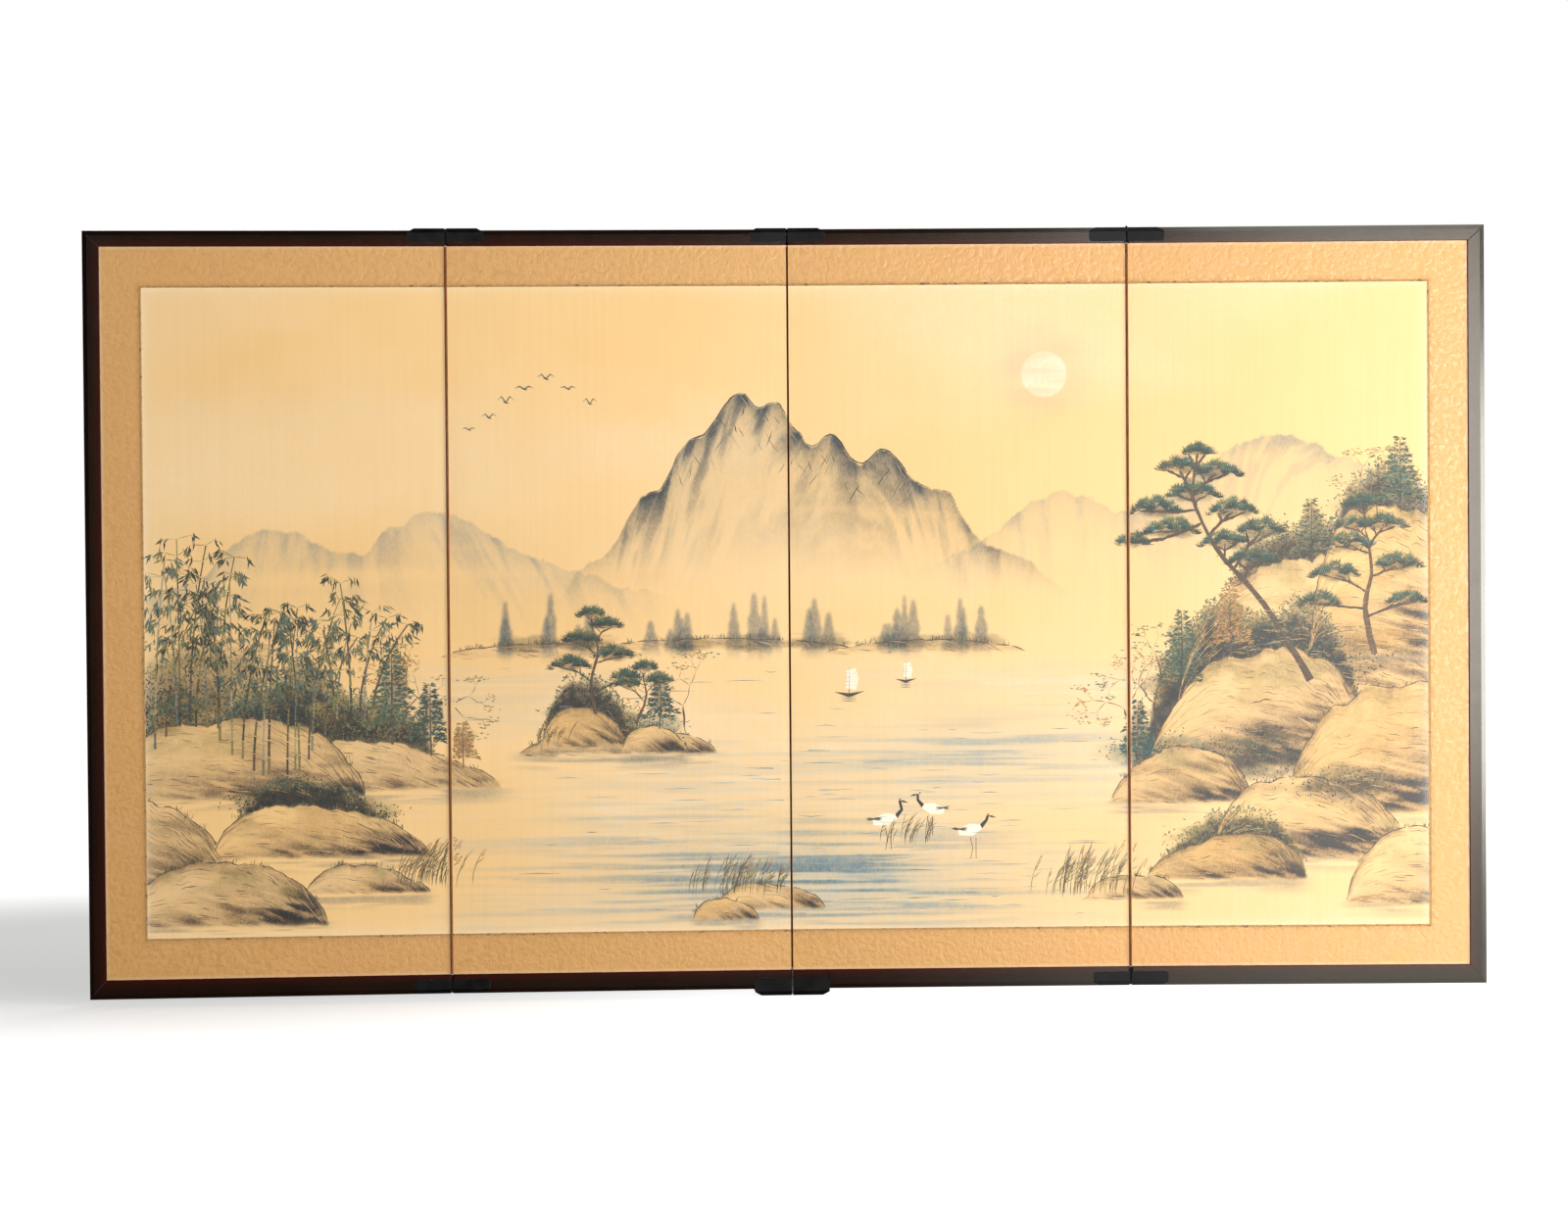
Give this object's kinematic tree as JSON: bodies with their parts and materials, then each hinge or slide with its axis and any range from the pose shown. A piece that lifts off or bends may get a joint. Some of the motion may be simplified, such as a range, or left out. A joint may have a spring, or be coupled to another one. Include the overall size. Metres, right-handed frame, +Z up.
{
  "type": "byobu folding screen",
  "caption": "Low folding screen of papered lattice panels in one dark lacquered moulding, with a bordered silk picture, paper hinges and metal rail shoes; folds up like an accordion.",
  "frame": {"origin": "middle of the bounding box in plan, at its underside", "axes": "+Z up, +X to the right along the screen, front (picture) side faces -Y"},
  "size_m": [1.668, 0.0502, 0.9196],
  "materials": {
    "lacquer": "dark brown urushi-style lacquer, semi-gloss, rubbed reddish on the arrises",
    "core_wood": "planed softwood, unfinished",
    "underpaper": "layered handmade paper, matte",
    "picture_silk": "fine plain-weave silk, toned gold, matte, with a painted landscape",
    "border_paper": "mottled gold-toned paper, soft sheen",
    "border_trim": "narrow dark brown paper strip, worn",
    "back_paper": "printed backing paper, small repeat, matte",
    "hinge_paper": "brown hinge paper, matte",
    "shoe_metal": "black lacquered sheet metal, satin, rubbed",
    "nail_iron": "plain iron, dull"
  },
  "bodies": {
    "panel_1": {"panel_1_core_frame": "core_wood", "panel_1_kumiko_lattice": "core_wood", "panel_1_underpaper_front": "underpaper", "panel_1_underpaper_back": "underpaper", "panel_1_picture_silk": "picture_silk", "panel_1_border_paper": "border_paper", "panel_1_border_trim": "border_trim", "panel_1_back_paper": "back_paper", "panel_1_top_rail": "lacquer", "panel_1_bottom_rail": "lacquer", "panel_1_frame_nails": "nail_iron", "panel_1_rail_shoes": "shoe_metal", "panel_1_hinge_papers": "hinge_paper", "panel_1_stile": "lacquer"},
    "panel_2": {"panel_2_core_frame": "core_wood", "panel_2_kumiko_lattice": "core_wood", "panel_2_underpaper_front": "underpaper", "panel_2_underpaper_back": "underpaper", "panel_2_picture_silk": "picture_silk", "panel_2_border_paper": "border_paper", "panel_2_border_trim": "border_trim", "panel_2_back_paper": "back_paper", "panel_2_top_rail": "lacquer", "panel_2_bottom_rail": "lacquer", "panel_2_frame_nails": "nail_iron", "panel_2_rail_shoes": "shoe_metal", "panel_2_hinge_papers": "hinge_paper"},
    "panel_3": {"panel_3_core_frame": "core_wood", "panel_3_kumiko_lattice": "core_wood", "panel_3_underpaper_front": "underpaper", "panel_3_underpaper_back": "underpaper", "panel_3_picture_silk": "picture_silk", "panel_3_border_paper": "border_paper", "panel_3_border_trim": "border_trim", "panel_3_back_paper": "back_paper", "panel_3_top_rail": "lacquer", "panel_3_bottom_rail": "lacquer", "panel_3_frame_nails": "nail_iron", "panel_3_rail_shoes": "shoe_metal", "panel_3_hinge_papers": "hinge_paper"},
    "panel_4": {"panel_4_core_frame": "core_wood", "panel_4_kumiko_lattice": "core_wood", "panel_4_underpaper_front": "underpaper", "panel_4_underpaper_back": "underpaper", "panel_4_picture_silk": "picture_silk", "panel_4_border_paper": "border_paper", "panel_4_border_trim": "border_trim", "panel_4_back_paper": "back_paper", "panel_4_top_rail": "lacquer", "panel_4_bottom_rail": "lacquer", "panel_4_frame_nails": "nail_iron", "panel_4_rail_shoes": "shoe_metal", "panel_4_hinge_papers": "hinge_paper", "panel_4_stile": "lacquer"},
    "shoe_left": {"loose_shoe_left": "shoe_metal"},
    "shoe_right": {"loose_shoe_right": "shoe_metal"}
  },
  "joints": [
    {"name": "fold_1", "type": "hinge", "parent": "panel_2", "child": "panel_1", "pos_m": [-0.40656, -0.0033, 0.008], "axis": [0, 0, 1], "range_deg": [-4, 178]},
    {"name": "fold_2", "type": "hinge", "parent": "panel_2", "child": "panel_3", "pos_m": [0, 0.0254, 0.008], "axis": [0, 0, 1], "range_deg": [-1, 182]},
    {"name": "fold_3", "type": "hinge", "parent": "panel_3", "child": "panel_4", "pos_m": [0.40656, -0.0033, 0.008], "axis": [0, 0, -1], "range_deg": [-4, 178]},
    {"name": "left_shoe_slip", "type": "slide", "parent": "panel_2", "child": "shoe_left", "axis": [0, 0, 1], "range_m": [0, 0.008]},
    {"name": "right_shoe_slip", "type": "slide", "parent": "panel_3", "child": "shoe_right", "axis": [0, 0, 1], "range_m": [0, 0.008]}
  ]
}
